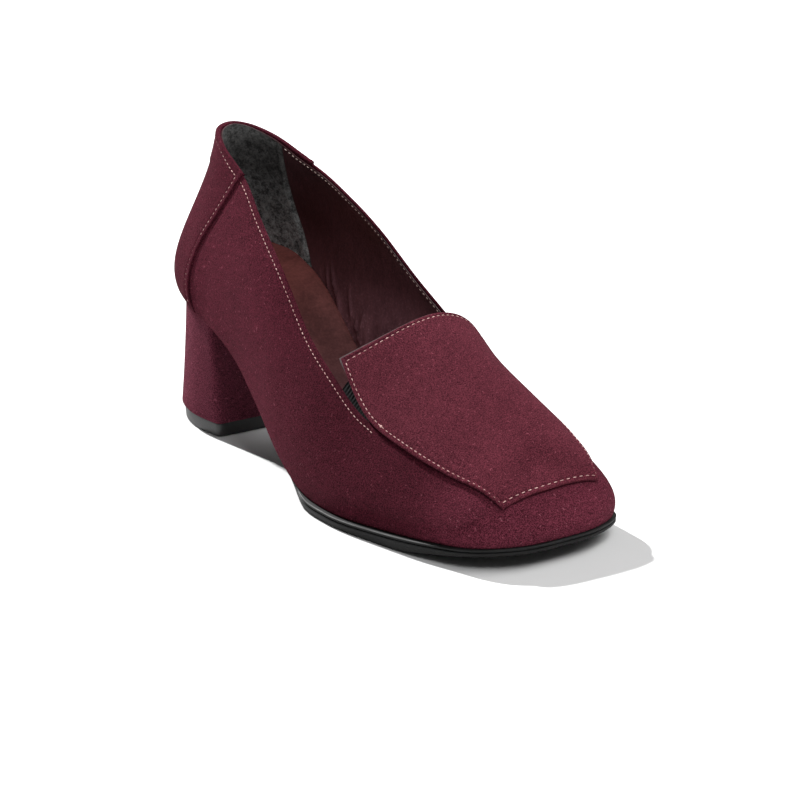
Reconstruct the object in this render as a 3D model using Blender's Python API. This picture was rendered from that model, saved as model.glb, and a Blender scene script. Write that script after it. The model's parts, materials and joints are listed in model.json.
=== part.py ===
"""Right shoe of suede: a slip-on with a broad apron, a square toe and a covered block heel.

Metres, +Z up. +Y points to the toe and +X to the outer side of the foot.
The tables are in millimetres, with the station y counted forward from the back of the heel.
"""

import math
from collections import namedtuple
from functools import partial

import bmesh
import bpy
import numpy as np
from mathutils import Vector
from mathutils.bvhtree import BVHTree

MM = 0.001
WELD = 0.00002

# Walls and clearances, in mm
GAP = 0.3
SEAT_GAP = 0.4
UPPER_WALL = 1.6
APRON_WALL = 1.4
COUNTER_WALL = 0.8
GORE_WALL = 1.0
INSOLE_INSET = 0.8
LASTING_MARGIN = 7.0

# Outsole and heel, in mm
SOLE_RIM = 2.4
SOLE_END = 41.2
HEEL_SEAT_INSET = 0.4
TOP_PIECE_THICK = 6.0
TOP_PIECE_INSET = 1.3
TOP_PIECE_TAPER = 0.4

# Facets: places round the last, half of them on each side, and rows up each piece
HALF_PLACES = 38
MARGIN_ROWS = 2
WALL_ROWS = 12
ACROSS = 6
HEEL_HALF_PLACES = 14
HEEL_ROWS = 5
INSOLE_ROWS = 3
TOP_PIECE_ROWS = 2
COVER_FINENESS = 6
CREASE_DEGREES = 40

# Small steps that give directions on the last, and samples that invert its curves
SHARE_STEPS = 201
INSOLE_REACH = 0.4
SHARE_STEP = 0.002
PLACE_STEP = 0.5
LOOP_OVERLAP = 3

# Bottom of the last, seen from the side: height of the feather edge over the floor
ProfileRow = namedtuple("ProfileRow", "y z")
PROFILE = (
    ProfileRow(-5, 54.5),
    ProfileRow(15, 52.5),
    ProfileRow(37, 49.5),
    ProfileRow(56, 44.0),
    ProfileRow(74, 34.0),
    ProfileRow(92, 23.0),
    ProfileRow(110, 13.0),
    ProfileRow(130, 6.8),
    ProfileRow(150, 6.0),
    ProfileRow(180, 6.8),
    ProfileRow(205, 8.5),
    ProfileRow(235, 10.8),
)

# Ribs of the last from the toe round to the back of the heel. Each rib rises in a vertical plane
# from the feather edge, outer (out_) or inner (in_), to the ridge of the last at top_, where
# top_x is half the width of the last's open top. swell and rise place the handle over the feather
# edge, crown and drop the handle beside the ridge. The collar is a height, and a rib whose
# collar is over its ridge is covered.
Rib = namedtuple(
    "Rib", "name out_x out_y in_x in_y top_c top_x top_y top_z swell rise crown drop collar_out collar_in"
)
RIBS = (
    Rib("toe", -2, 233.5, -2, 233.5, -4, 0, 213, 31, 2.5, 7, 12, 8, 200, 200),
    Rib("toe_corner", 17, 232, -22, 230.5, -5, 0, 211, 32.5, 2.5, 8, 15, 7, 200, 200),
    Rib("toe_side", 30.5, 222.5, -37, 221, -6.5, 0, 204, 38, 4, 10, 22, 5, 200, 200),
    Rib("toe_back", 37.5, 204, -41.5, 201, -8, 0, 194, 44, 3, 13, 25.5, 2.5, 200, 200),
    Rib("joint_front", 41.5, 181, -42, 178, -7.5, 0, 178, 53, 3, 18, 25, 0.5, 37.5, 43.5),
    Rib("joint", 44.5, 155, -39, 156, -8, 0, 160, 62, 3, 21, 25.5, -1, 39.9, 48.5),
    Rib("instep_front", 42, 131, -33, 134, -9.5, 0, 140, 71, 4, 36, 31.5, -2, 51.7, 55),
    Rib("instep", 37, 107, -27, 110, -8, 0, 120, 84, 4, 40, 36, 4, 65.1, 73.2),
    Rib("waist", 31.5, 84, -25, 87, -4, 6, 100, 100, 3, 40, 32, 10, 84, 91),
    Rib("seat_front", 27.5, 62, -25, 63, -2, 11, 76, 112, 3, 34, 21, 15, 98.4, 102.4),
    Rib("seat", 25, 40, -24.5, 40, -1.5, 13, 52, 119, 3, 30, 10, 17, 110.6, 110.6),
    Rib("heel_side", 22, 22, -22, 22, -0.5, 12.5, 32, 123.5, 8, 16, 3.5, 27, 119, 117.3),
    Rib("heel_round", 14.5, 9.5, -14.5, 9.5, 0, 7.5, 22, 126, 15.5, 13, 1.2, 30, 122.6, 121.8),
    Rib("heel", 0, 4, 0, 4, 0, 0, 19, 127, 19, 12, 1, 32, 124, 124),
)

# Insole: its thickness at a station, padded under the heel
InsoleRow = namedtuple("InsoleRow", "y thick")
INSOLE = (
    InsoleRow(-5, 17),
    InsoleRow(20, 18),
    InsoleRow(32, 17.5),
    InsoleRow(44, 14.5),
    InsoleRow(56, 9.5),
    InsoleRow(66, 5.4),
    InsoleRow(78, 3),
    InsoleRow(95, 2.4),
    InsoleRow(240, 2.4),
)

# Outsole: its thickness at a station, down to little more than its rim at the toe
SoleRow = namedtuple("SoleRow", "y thick")
SOLE = (
    SoleRow(40, 3.2),
    SoleRow(110, 3.2),
    SoleRow(140, 4.6),
    SoleRow(180, 5.4),
    SoleRow(197, 4.8),
    SoleRow(211, 3.6),
    SoleRow(225, 2.7),
    SoleRow(240, 2.5),
)

# Edge of the outsole from its top down: share of the rim, share of the tread under it, step inward
SoleEdgeRow = namedtuple("SoleEdgeRow", "rim tread inset")
SOLE_EDGE = (
    SoleEdgeRow(0.0, 0.0, 0.0),
    SoleEdgeRow(0.36, 0.0, 0.0),
    SoleEdgeRow(0.43, 0.0, 0.6),
    SoleEdgeRow(0.56, 0.0, 0.6),
    SoleEdgeRow(0.63, 0.0, 0.1),
    SoleEdgeRow(0.94, 0.0, 0.1),
    SoleEdgeRow(1.0, 0.0, 0.5),
    SoleEdgeRow(1.0, 1.0, 0.8),
)

# How far the outsole stands out beyond the upper's wall at a station
LedgeRow = namedtuple("LedgeRow", "y out")
LEDGE = (
    LedgeRow(0, -3.2),
    LedgeRow(70, -3.2),
    LedgeRow(100, -2.8),
    LedgeRow(116, -1.9),
    LedgeRow(122, -1.0),
    LedgeRow(127, 0.2),
    LedgeRow(133, 1.3),
    LedgeRow(150, 1.8),
    LedgeRow(205, 1.7),
    LedgeRow(225, 1.0),
    LedgeRow(240, 1.0),
)

# Heel block from its seat to its foot: how far the back and the front corners stand out beyond
# the feather edge, and how far the breast leans forward
HeelRow = namedtuple("HeelRow", "share back corner lean")
HEEL = (
    HeelRow(0.0, 1.6, 1.2, 0.0),
    HeelRow(0.25, 2.0, 0.4, 0.6),
    HeelRow(0.6, 2.8, -0.2, 2.2),
    HeelRow(1.0, 4.0, -0.4, 4.0),
)

# Apron in plan, from its rear edge to its front edge
ApronRow = namedtuple("ApronRow", "share out_x out_y in_x in_y")
APRON = (
    ApronRow(0.0, 27.4, 133.2, -29, 142),
    ApronRow(0.2, 31.2, 151.5, -32, 158),
    ApronRow(0.48, 31.5, 177, -34, 180),
    ApronRow(0.74, 27.8, 201, -33.5, 202),
    ApronRow(1.0, 19.6, 226.2, -28, 223.5),
)
APRON_BOW = 5
APRON_COLUMNS = 14
APRON_ROWS = 17

# Counter at the back: its reach along the feather edge from the back, at a share of the wall
CounterRow = namedtuple("CounterRow", "share reach")
COUNTER = (
    CounterRow(0.0, 37),
    CounterRow(0.2, 35),
    CounterRow(0.4, 37),
    CounterRow(0.7, 45),
    CounterRow(1.0, 48),
)
COUNTER_COLUMNS = 24
COUNTER_ROWS = 14

# Elastic gores between the collar and the apron, one on each side, from the rear end to the front
GORE_REAR_Y = 137
GORE_FRONT_Y = 161
GORE_UNDER = 0.07
GORE_CLEAR = 0.07
GORE_OVER = 0.2
GORE_GAP = 0.5
GORE_COLUMNS = 10
GORE_ROWS = 8

# Colours (linear) and roughness of the materials
Finish = namedtuple("Finish", "name colour roughness")
SUEDE = Finish("burgundy_suede", (0.088, 0.016, 0.026), 0.9)
LEATHER = Finish("brown_lining_leather", (0.085, 0.022, 0.016), 0.5)
RUBBER = Finish("black_sole_rubber", (0.012, 0.012, 0.012), 0.42)
ELASTIC = Finish("black_elastic", (0.01, 0.01, 0.011), 0.85)


def bessel_slopes(knots, values):
    """Slopes at the knots of a smooth open line, each from the parabola through three neighbours."""
    steps = np.diff(knots)[:, None]
    secants = np.diff(values, axis=0) / steps
    inner = (steps[1:] * secants[:-1] + steps[:-1] * secants[1:]) / (steps[1:] + steps[:-1])
    first = 2 * secants[:1] - inner[:1]
    last = 2 * secants[-1:] - inner[-1:]
    return np.concatenate([first, inner, last])


def hermite(knots, values, slopes, at):
    """Values at the places asked for, on the cubic line with these knots and slopes."""
    i = np.clip(np.searchsorted(knots, at, side="right") - 1, 0, len(knots) - 2)
    step = (knots[i + 1] - knots[i])[..., None]
    f = (at[..., None] - knots[i][..., None]) / step
    rise = (1 + 2 * f) * (1 - f) ** 2 * values[i] + f * f * (3 - 2 * f) * values[i + 1]
    return rise + f * (1 - f) * step * ((1 - f) * slopes[i] - f * slopes[i + 1])


def smooth_table(table, at):
    """Columns (..., n) of a table at the places asked for in its first column, on smooth lines."""
    rows = np.array(table, float)
    knots = rows[:, 0]
    values = rows[:, 1:]
    return hermite(knots, values, bessel_slopes(knots, values), np.asarray(at, float))


def profile_height(y):
    """Height of the feather edge at a station."""
    return smooth_table(PROFILE, y)[..., 0]


def seat_height(y):
    """Height of the outsole's and the heel's top, under the lasting margin of the upper."""
    return profile_height(y) - UPPER_WALL - SEAT_GAP


def bezier(p, v):
    """Points of cubic curves with the handles p (..., 4, 3), at the shares v."""
    v = np.asarray(v, float)[..., None]
    return (
        (1 - v) ** 3 * p[..., 0, :]
        + 3 * v * (1 - v) ** 2 * p[..., 1, :]
        + 3 * v * v * (1 - v) * p[..., 2, :]
        + v**3 * p[..., 3, :]
    )


def rib_handles(rib, side):
    """Four Bezier points and the collar share of one rib, side 1 outer or -1 inner."""
    x, y, collar = (
        (rib.out_x, rib.out_y, rib.collar_out) if side > 0 else (rib.in_x, rib.in_y, rib.collar_in)
    )
    foot = np.array([x, y, float(profile_height(y))])
    top = np.array([rib.top_c + side * rib.top_x, rib.top_y, rib.top_z])
    out = (foot - top) * (1, 1, 0)
    out = out / np.linalg.norm(out)
    low = foot + rib.swell * out + (0, 0, rib.rise)
    high = top + rib.crown * out - (0, 0, rib.drop)
    shares = np.linspace(0, 1, SHARE_STEPS)
    heights = bezier(np.array([foot, low, high, top]), shares)[:, 2]
    return np.concatenate([foot, low, high, top, [np.interp(collar, heights, shares)]])


def loop_of_ribs():
    """Knots and rows of the closed loop of ribs: toe, outer side, heel, inner side and toe again."""
    outer = [rib_handles(rib, 1) for rib in RIBS]
    inner = [rib_handles(rib, -1) for rib in RIBS]
    steps = [
        (math.dist(a[:2], b[:2]) + math.dist(c[:2], d[:2])) / 2
        for a, b, c, d in zip(outer, outer[1:], inner, inner[1:])
    ]
    half = np.concatenate([[0], np.cumsum(steps)])
    knots = np.concatenate([half, 2 * half[-1] - half[-2::-1]])
    rows = np.array(outer + inner[-2::-1])
    before = slice(-1 - LOOP_OVERLAP, -1)
    after = slice(1, 1 + LOOP_OVERLAP)
    wide_knots = np.concatenate([knots[before] - knots[-1], knots, knots[after] + knots[-1]])
    wide_rows = np.concatenate([rows[before], rows, rows[after]])
    return half, wide_knots, wide_rows, bessel_slopes(wide_knots, wide_rows)


HALF_KNOTS, LOOP_KNOTS, LOOP_ROWS, LOOP_SLOPES = loop_of_ribs()
HALF = HALF_KNOTS[-1]
SEAT_PLACE = HALF_KNOTS[[rib.name for rib in RIBS].index("seat")]


def rib_at(u):
    """Bezier points (..., 4, 3) and collar share (...) of the rib at a place u round the last."""
    row = hermite(LOOP_KNOTS, LOOP_ROWS, LOOP_SLOPES, np.asarray(u, float))
    return row[..., :12].reshape(row.shape[:-1] + (4, 3)), np.clip(row[..., 12], 0, 1)


def last_point(u, v):
    """Point of the last at a place u round it and a share v up its rib."""
    p, _ = rib_at(u)
    return bezier(p, v)


def wall_point(u, v, out):
    """Point at a distance out from the last, outward, at a place u and a share v up the rib."""
    low = np.clip(v - SHARE_STEP, 0, 1)
    high = np.clip(v + SHARE_STEP, 0, 1)
    along = last_point(u + PLACE_STEP, v) - last_point(u - PLACE_STEP, v)
    upward = last_point(u, high) - last_point(u, low)
    normal = np.cross(upward, along)
    normal = normal / np.linalg.norm(normal, axis=-1, keepdims=True)
    return last_point(u, v) + np.asarray(out, float)[..., None] * normal


def feather(u, out):
    """Plan (..., 2) of the feather edge at a place u, moved outward by out."""
    ahead = rib_at(u + PLACE_STEP)[0][..., 0, :2]
    behind = rib_at(u - PLACE_STEP)[0][..., 0, :2]
    along = ahead - behind
    along = along / np.linalg.norm(along, axis=-1, keepdims=True)
    normal = np.stack([-along[..., 1], along[..., 0]], axis=-1)
    return rib_at(u)[0][..., 0, :2] + np.asarray(out, float)[..., None] * normal


def place_at_station(y, side):
    """Place round the last whose feather edge lies at the station y, side 1 outer or -1 inner."""
    places = np.linspace(0, HALF, SHARE_STEPS)
    stations = rib_at(places if side > 0 else 2 * HALF - places)[0][:, 0, 1]
    place = np.interp(-y, -stations, places)
    return place if side > 0 else 2 * HALF - place


def join(plan, height):
    """Points (..., 3) from their plan and their height."""
    return np.concatenate([plan, np.asarray(height)[..., None]], axis=-1)


def sheet(bm, columns, rows, surface, flip=False):
    """Add a grid of faces to a bmesh, bent to surface(s, t), both running from 0 to 1."""
    made = bmesh.ops.create_grid(bm, x_segments=columns, y_segments=rows, size=1)["verts"]
    flat = np.array([vert.co[:2] for vert in made])
    points = surface((flat[:, 0] + 1) / 2, (flat[:, 1] + 1) / 2) * MM
    for vert, point in zip(made, points):
        vert.co = point
    if flip:
        faces = {face for vert in made for face in vert.link_faces}
        bmesh.ops.reverse_faces(bm, faces=list(faces))


def finish_material(finish):
    """Material of a finish, made once."""
    made = bpy.data.materials.get(finish.name)
    if made:
        return made
    made = bpy.data.materials.new(finish.name)
    made.use_nodes = True
    shader = made.node_tree.nodes["Principled BSDF"]
    shader.inputs["Base Color"].default_value = (*finish.colour, 1)
    shader.inputs["Roughness"].default_value = finish.roughness
    made.diffuse_color = (*finish.colour, 1)
    return made


def piece(name, bm, finish, wall=0.0):
    """Object of a bmesh whose seams are welded, with its wall raised on the outer side if given."""
    bmesh.ops.remove_doubles(bm, verts=bm.verts[:], dist=WELD)
    bmesh.ops.dissolve_degenerate(bm, edges=bm.edges[:], dist=WELD)
    mesh = bpy.data.meshes.new(name)
    bm.to_mesh(mesh)
    bm.free()
    mesh.shade_smooth()
    mesh.set_sharp_from_angle(angle=math.radians(CREASE_DEGREES))
    mesh.materials.append(finish_material(finish))
    made = bpy.data.objects.new(name, mesh)
    bpy.context.scene.collection.objects.link(made)
    if wall:
        solidify = made.modifiers.new("wall", "SOLIDIFY")
        solidify.thickness = wall * MM
        solidify.offset = 1
        solidify.use_even_offset = True
        solidify.use_quality_normals = True
    return made


def make_upper():
    """Upper: the last's own surface, from the margin turned under it up to the collar."""
    rows = MARGIN_ROWS + WALL_ROWS
    feather_row = MARGIN_ROWS / rows

    def surface(s, t):
        u = s * 2 * HALF
        _, collar = rib_at(u)
        wall = np.clip((t - feather_row) / (1 - feather_row), 0, 1)
        plan = feather(u, -LASTING_MARGIN * np.clip(1 - t / feather_row, 0, 1))
        margin = join(plan, profile_height(plan[..., 1]))
        return np.where((t < feather_row - WELD)[:, None], margin, last_point(u, wall * collar))

    bm = bmesh.new()
    sheet(bm, 2 * HALF_PLACES, rows, surface, flip=True)
    return piece("upper", bm, SUEDE, wall=UPPER_WALL)


def make_counter():
    """Counter lapped over the back of the upper, widening to the collar."""

    def surface(s, t):
        reach = smooth_table(COUNTER, t)[..., 0]
        u = HALF + (2 * s - 1) * reach
        _, collar = rib_at(u)
        return wall_point(u, t * collar, np.full_like(u, UPPER_WALL + GAP))

    bm = bmesh.new()
    sheet(bm, COUNTER_COLUMNS, COUNTER_ROWS, surface, flip=True)
    return piece("heel_counter", bm, SUEDE, wall=COUNTER_WALL)


def make_gore(name, side):
    """Elastic gore: sewn inside the collar, and rising past it to the underside of the apron."""
    rear = place_at_station(GORE_REAR_Y, side)
    front = place_at_station(GORE_FRONT_Y, side)

    def surface(s, t):
        u = rear + s * (front - rear)
        _, collar = rib_at(u)
        v = collar - GORE_UNDER + t * (GORE_UNDER + GORE_OVER)
        inside = -GORE_GAP - GORE_WALL
        lift = np.clip((v - collar - GORE_CLEAR) / (GORE_OVER - GORE_CLEAR), 0, 1)
        return wall_point(u, v, inside + lift * (UPPER_WALL - GORE_WALL - inside))

    bm = bmesh.new()
    sheet(bm, GORE_COLUMNS, GORE_ROWS, surface, flip=side < 0)
    return piece(name, bm, ELASTIC, wall=GORE_WALL)


def cover_of_last(out):
    """Search tree of the surface at a distance out from the last."""
    columns = COVER_FINENESS * HALF_PLACES
    rows = COVER_FINENESS * WALL_ROWS
    bm = bmesh.new()
    sheet(bm, columns, rows, lambda s, t: last_point(s * 2 * HALF, t), flip=True)
    bmesh.ops.remove_doubles(bm, verts=bm.verts[:], dist=WELD)
    bm.normal_update()
    for vert in bm.verts:
        vert.co += out * MM * vert.normal
    tree = BVHTree.FromBMesh(bm)
    bm.free()
    return tree


def make_apron():
    """Apron laid over the vamp, its plan dropped on the cover of the last."""
    cover = cover_of_last(UPPER_WALL + GAP)
    sky = 200 * MM

    def surface(s, t):
        edge = smooth_table(APRON, t)
        plan = edge[..., :2] + s[:, None] * (edge[..., 2:] - edge[..., :2])
        plan[..., 1] += APRON_BOW * 6.75 * s * (1 - s) ** 2 * (1 - t) ** 2
        drop = [cover.ray_cast(Vector((x * MM, y * MM, sky)), Vector((0, 0, -1)))[0].z for x, y in plan]
        return join(plan, np.array(drop) / MM)

    bm = bmesh.new()
    sheet(bm, APRON_COLUMNS, APRON_ROWS, surface, flip=True)
    return piece("apron", bm, SUEDE, wall=APRON_WALL)


def strip(first, last, edge, height):
    """Surface across the shoe from the outer edge to the inner one, between two places."""

    def surface(s, t):
        u = first + s * (last - first)
        outer = edge(u)
        inner = edge(2 * HALF - u)
        plan = outer + t[:, None] * (inner - outer)
        return join(plan, height(plan[..., 1]))

    return surface


def inside_wall(u, height):
    """Plan just clear of the upper's wall, where the wall reaches the height(y) of its station."""
    shares = np.linspace(0, INSOLE_REACH, SHARE_STEPS)
    plan = []
    for place in u:
        wall = wall_point(np.full_like(shares, place), shares, np.full_like(shares, -INSOLE_INSET))
        over = wall[:, 2] - height(wall[:, 1])
        plan.append([np.interp(0, over, wall[:, 0]), np.interp(0, over, wall[:, 1])])
    return np.array(plan)


def make_insole():
    """Insole lying on the lasting margin, just clear of the wall and padded under the heel."""

    def level(share):
        def height(y):
            return profile_height(y) + GAP + share * smooth_table(INSOLE, y)[..., 0]

        return height

    def side(s, t):
        points = np.zeros((len(s), 3))
        for share in np.unique(t):
            plan = inside_wall(s[t == share] * 2 * HALF, level(share))
            points[t == share] = join(plan, level(share)(plan[:, 1]))
        return points

    def face(share):
        return strip(0, HALF, lambda u: inside_wall(u, level(share)), level(share))

    bm = bmesh.new()
    sheet(bm, 2 * HALF_PLACES, INSOLE_ROWS, side, flip=True)
    sheet(bm, HALF_PLACES, ACROSS, face(0))
    sheet(bm, HALF_PLACES, ACROSS, face(1), flip=True)
    return piece("insole", bm, LEATHER)


def make_outsole():
    """Outsole with its ribbed edge, from the toe to the breast of the heel."""

    def bottom(y):
        return np.maximum(seat_height(y) - smooth_table(SOLE, y)[..., 0], 0)

    def edge(u, inset):
        ledge = smooth_table(LEDGE, rib_at(u)[0][..., 0, 1])[..., 0]
        return feather(u, UPPER_WALL + ledge - inset)

    def side(s, t):
        row = np.rint(t * (len(SOLE_EDGE) - 1)).astype(int)
        rim, tread, inset = np.array(SOLE_EDGE)[row].T
        plan = edge(s * 2 * HALF, inset)
        y = plan[..., 1]
        under_rim = seat_height(y) - rim * SOLE_RIM
        return join(plan, under_rim + tread * (bottom(y) - under_rim))

    bm = bmesh.new()
    sheet(bm, 2 * HALF_PLACES, len(SOLE_EDGE) - 1, side)
    for row, height in ((SOLE_EDGE[0], seat_height), (SOLE_EDGE[-1], bottom)):
        sheet(bm, HALF_PLACES, ACROSS, strip(0, HALF, partial(edge, inset=row.inset), height))
    bmesh.ops.remove_doubles(bm, verts=bm.verts[:], dist=WELD)
    cut = bmesh.ops.bisect_plane(
        bm,
        geom=bm.verts[:] + bm.edges[:] + bm.faces[:],
        dist=WELD / 10,
        plane_co=(0, SOLE_END * MM, 0),
        plane_no=(0, 1, 0),
        clear_inner=True,
    )["geom_cut"]
    end = [edge for edge in cut if isinstance(edge, bmesh.types.BMEdge)]
    bmesh.ops.contextual_create(bm, geom=end)
    bmesh.ops.recalc_face_normals(bm, faces=bm.faces[:])
    return piece("outsole", bm, RUBBER)


def heel_edge(u, share, inset=0.0):
    """Plan of the heel block's side at a place u and a share of its height down from the seat."""
    back, corner, lean = smooth_table(HEEL, share).T
    reach = np.abs(HALF - u) / (HALF - SEAT_PLACE)
    plan = feather(u, back + reach**2 * (corner - back) - HEEL_SEAT_INSET - inset)
    plan[..., 1] += (lean - inset) * reach**2
    return plan


def heel_solid(name, finish, rows, shares, top, foot, insets=(0.0, 0.0)):
    """Closed block under the seat between two heights: side, breast, top and foot."""

    def level(t):
        return shares[0] + t * (shares[1] - shares[0]), insets[0] + t * (insets[1] - insets[0])

    def side(s, t):
        share, inset = level(t)
        plan = heel_edge(SEAT_PLACE + s * 2 * (HALF - SEAT_PLACE), share, inset)
        y = plan[..., 1]
        return join(plan, top(y) + t * (foot(y) - top(y)))

    def breast(s, t):
        return side(0 * s, t) + s[:, None] * (side(0 * s + 1, t) - side(0 * s, t))

    def cap(t, height):
        share, inset = level(t)
        return strip(SEAT_PLACE, HALF, lambda u: heel_edge(u, share + 0 * u, inset), height)

    bm = bmesh.new()
    sheet(bm, 2 * HEEL_HALF_PLACES, rows, side)
    sheet(bm, ACROSS, rows, breast)
    sheet(bm, HEEL_HALF_PLACES, ACROSS, cap(0.0, top))
    sheet(bm, HEEL_HALF_PLACES, ACROSS, cap(1.0, foot))
    bmesh.ops.remove_doubles(bm, verts=bm.verts[:], dist=WELD)
    bmesh.ops.recalc_face_normals(bm, faces=bm.faces[:])
    return piece(name, bm, finish)


def make_heel():
    """Covered block heel, from its seat under the upper down to the top piece."""
    return heel_solid(
        "heel", SUEDE, HEEL_ROWS, (0.0, 1.0), seat_height, lambda y: TOP_PIECE_THICK + GAP + 0 * y
    )


def make_top_piece():
    """Rubber top piece that the heel stands on."""
    return heel_solid(
        "top_piece",
        RUBBER,
        TOP_PIECE_ROWS,
        (1.0, 1.0),
        lambda y: TOP_PIECE_THICK + 0 * y,
        lambda y: 0 * y,
        insets=(TOP_PIECE_INSET, TOP_PIECE_INSET + TOP_PIECE_TAPER),
    )


def box_of(objects):
    """Lowest and highest corner of objects as their modifiers leave them."""
    graph = bpy.context.evaluated_depsgraph_get()
    corners = []
    for made in objects:
        mesh = made.evaluated_get(graph).to_mesh()
        points = np.array([vert.co for vert in mesh.vertices])
        corners += [points.min(axis=0), points.max(axis=0)]
        made.evaluated_get(graph).to_mesh_clear()
    return np.min(corners, axis=0), np.max(corners, axis=0)


def main():
    for old in list(bpy.data.objects):
        bpy.data.objects.remove(old, do_unlink=True)
    pieces = [
        make_upper(),
        make_apron(),
        make_counter(),
        make_gore("gore_outer", 1),
        make_gore("gore_inner", -1),
        make_insole(),
        make_outsole(),
        make_heel(),
        make_top_piece(),
    ]
    low, high = box_of(pieces)
    middle = bpy.data.objects.new("shoe", None)
    bpy.context.scene.collection.objects.link(middle)
    middle.location = (-(low[0] + high[0]) / 2, -(low[1] + high[1]) / 2, 0)
    for made in pieces:
        made.parent = middle


if __name__ == "__main__":
    main()
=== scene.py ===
"""Right shoe of burgundy suede, dressed for the camera.

The shoe is a slip-on with a broad stitched apron, a square toe, elastic gores and a covered block heel.
The tables are in millimetres, with the station y counted forward from the back of the heel, +x to the
outer side of the foot and +z up. SHIFT takes them to the frame, whose origin is on the floor
under the middle of the shoe's box.
"""

import json
import math
from collections import namedtuple
from functools import partial

import bmesh
import bpy
import numpy as np
from mathutils import Matrix, Vector
from mathutils.bvhtree import BVHTree


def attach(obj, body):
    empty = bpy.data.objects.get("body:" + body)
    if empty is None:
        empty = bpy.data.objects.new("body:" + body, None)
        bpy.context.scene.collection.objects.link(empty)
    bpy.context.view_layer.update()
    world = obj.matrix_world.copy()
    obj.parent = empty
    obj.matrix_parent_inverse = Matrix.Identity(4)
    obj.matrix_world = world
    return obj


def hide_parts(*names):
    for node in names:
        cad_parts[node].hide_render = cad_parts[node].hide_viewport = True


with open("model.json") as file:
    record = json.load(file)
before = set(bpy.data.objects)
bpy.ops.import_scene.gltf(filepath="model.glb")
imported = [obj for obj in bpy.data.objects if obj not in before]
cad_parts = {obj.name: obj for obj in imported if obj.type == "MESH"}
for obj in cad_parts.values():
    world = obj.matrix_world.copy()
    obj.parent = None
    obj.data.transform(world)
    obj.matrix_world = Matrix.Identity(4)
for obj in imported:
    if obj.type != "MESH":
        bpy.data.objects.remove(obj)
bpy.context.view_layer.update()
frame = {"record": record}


def named_rows(columns, *rows):
    """Rows of a table whose columns have names."""
    row_type = namedtuple("Row", columns)
    return tuple(row_type(*row) for row in rows)


MM = 0.001
WELD = 0.00002

# The mount under the heel lies at this station, which ties the tables to the frame
HEEL_FOOT_STATION = (0, 24, 0)
HEEL_FOOT = next(m for m in frame["record"]["mounts"] if m["name"] == "heel_foot")["pos_m"]
SHIFT = np.array(HEEL_FOOT) / MM - HEEL_FOOT_STATION

# Faces of the layers, as distances outward from the last
SUEDE_OUT = 1.6
SUEDE_IN = 0.45
LINING_OUT = 0.42
LINING_IN = -0.15
GRIP_OUT = -0.2
GRIP_IN = -1.0
COUNTER_OUT = 2.4
COUNTER_IN = 1.5

# Collar: how far the lining's cut edge and the seams lie below the folded edge of the suede
LINING_DROP = 0.9
COLLAR_SEAM = 2.4
LINING_SEAM = 1.9

# Counter: how far it rises over the collar and covers it, its slit, tuck and rounding at the edges,
# and the raised band along its top
COUNTER_RISE = 0.8
COUNTER_COVER = 3.2
COUNTER_FOLD = 1.6
COUNTER_SLIT = 0.4
COUNTER_SLIT_WIDE = 1.4
COUNTER_TUCK = 0.6
COUNTER_TUCK_SHARE = 0.08
COUNTER_ROUND = 0.35
COUNTER_BAND = 14.0
COUNTER_BAND_RISE = 0.6
COUNTER_BAND_EASE = 2
COUNTER_BAND_WIDE = 26

# Quarters beside the counter: where they begin to dip under its fold, and the crevice at its front edge
LAP_AHEAD = 0.3
LAP_EASE = 2.0
CREVICE_DEPTH = 1.0
CREVICE_AHEAD = 0.16
CREVICE_WIDE = 0.26
CREVICE_FADE = 4

# Heel grip: its drop below the lining's edge, and its bevelled edge
GRIP_DROP = 0.3
GRIP_EDGE = 0.02
GRIP_BEVEL = 3

# Insole, outsole and heel
GAP = 0.3
INSOLE_INSET = 0.25
INSOLE_REACH = 0.4
INSOLE_ROUND = 1.6
INSOLE_EDGE = 0.8
INSOLE_HOLLOW = 2.0
INSOLE_HOLLOW_END = 95
INSOLE_HOLLOW_EASE = 50
INSOLE_HOLLOW_WIDTH = 40
LASTING_MARGIN = 6.0
SOLE_RIM = 2.7
SOLE_SEAT = 0.4
SOLE_END = 41.2
HEEL_SEAT_INSET = 0.4
HEEL_CORNER = 3.0
HEEL_EDGE = 0.9
HEEL_WALL = 0.97
HEEL_GAP = 0.05
TOP_PIECE_THICK = 6.0
TOP_PIECE_INSET = 1.3
TOP_PIECE_TAPER = 0.4
TOP_PIECE_CORNER = 2.2

# Thread: pitch and size of the stitches, how far they are sunk, and the grooves that seams draw in
COLLAR_PITCH = 2.2
APRON_PITCH = 2.45
APRON_FRONT_PITCH = 3.1
STITCH_SHARE = 0.58
STITCH_RADIUS = 0.18
STITCH_SUNK = 0.35
LINING_SUNK = 0.15
SEAM_BED = 0.2
LINING_BED = 0.05
COLLAR_GROOVE = 0.22
LINING_GROOVE = 0.18
GROOVE_WIDE = 0.6
THIN_GROOVE_WIDE = 0.5
COUNTER_SEAM_STOP = 2.6

# Seam up the counter's front edge: the shares of the wall between which it is sunk so far
COUNTER_SEAM = named_rows(
    "low high sunk",
    (0.05, 0.5, 0.9),
    (0.5, 0.96, 0.65),
)

# Steps and samples on the last, and how its meshes crowd their rows
SHARE_STEPS = 201
SHARE_STEP = 0.002
PLACE_STEP = 0.5
LOOP_STEPS = 2401
LOOP_OVERLAP = 3
ROWS_CROWD = 1.5
ENDS_CROWD = 0.11

# Top of the last: the shares where directions stop and where both sides begin to share a normal, the
# width of a ridge, the share over which the vamp closes, and the lowest collar
RIDGE_SHARE = 0.985
RIDGE_FROM = 0.8
RIDGE_LENGTH = 0.2
RIDGE_WIDE = 2
VAMP_CLOSES = 0.12
COLLAR_LEAST = 0.1

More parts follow.
